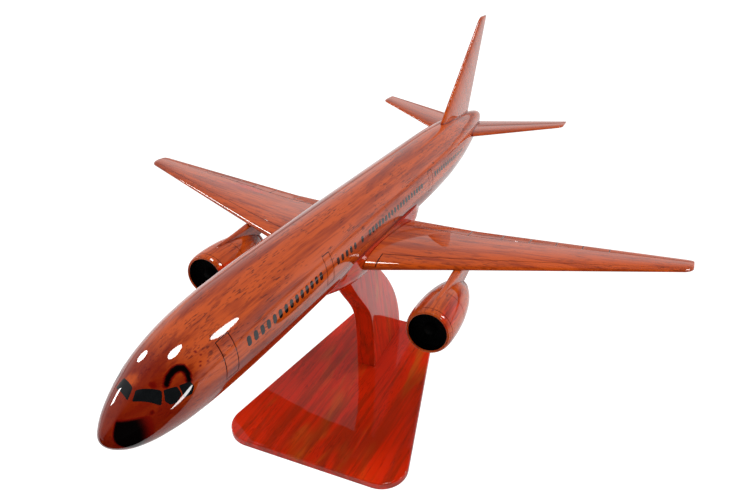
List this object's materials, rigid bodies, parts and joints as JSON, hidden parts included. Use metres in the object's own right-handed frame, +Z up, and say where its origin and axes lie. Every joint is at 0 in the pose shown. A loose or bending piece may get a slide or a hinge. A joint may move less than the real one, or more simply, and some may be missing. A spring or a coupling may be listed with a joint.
{
  "type": "desktop airliner model",
  "caption": "Carved and varnished wooden twin-engined airliner, nose up on a curved wooden arm over a trapezoid base board.",
  "frame": {"origin": "centre of the base's felt underside, halfway between the wide front end and the narrow rear end of the board", "axes": "+Z up from the desk, +Y towards the tail and -Y towards the nose, +X towards the aircraft's port (left) wing tip"},
  "size_m": [0.372, 0.4751, 0.1763],
  "materials": {
    "mahogany": "high-gloss varnished red-brown mahogany",
    "dowel_wood": "bare pale hardwood",
    "black_lacquer": "gloss black lacquer on wood",
    "felt": "dark felt",
    "screw_steel": "zinc-plated steel"
  },
  "bodies": {
    "stand": {"base_board": "mahogany", "base_felt": "felt", "stand_arm": "mahogany", "arm_screw_front": "screw_steel", "arm_screw_rear": "screw_steel", "peg_front": "dowel_wood", "peg_rear": "dowel_wood"},
    "aircraft": {"fuselage": "mahogany", "belly_fairing": "mahogany", "wing_port": "mahogany", "wing_starboard": "mahogany", "wing_dowel_port_front": "dowel_wood", "wing_dowel_port_rear": "dowel_wood", "wing_dowel_starboard_front": "dowel_wood", "wing_dowel_starboard_rear": "dowel_wood", "pylon_port": "mahogany", "pylon_starboard": "mahogany", "pylon_pin_port": "screw_steel", "pylon_pin_starboard": "screw_steel", "nacelle_port": "mahogany", "nacelle_starboard": "mahogany", "fan_face_port": "black_lacquer", "fan_face_starboard": "black_lacquer", "tail_cone_port": "mahogany", "tail_cone_starboard": "mahogany", "fin": "mahogany", "fin_dowel_front": "dowel_wood", "fin_dowel_rear": "dowel_wood", "stabiliser_port": "mahogany", "stabiliser_starboard": "mahogany", "stabiliser_dowel_port_front": "dowel_wood", "stabiliser_dowel_port_rear": "dowel_wood", "stabiliser_dowel_starboard_front": "dowel_wood", "stabiliser_dowel_starboard_rear": "dowel_wood"}
  },
  "joints": [
    {"name": "aircraft_lift", "type": "slide", "parent": "stand", "child": "aircraft", "axis": [0, 0.164, 0.9865], "range_m": [0, 0.04]}
  ]
}
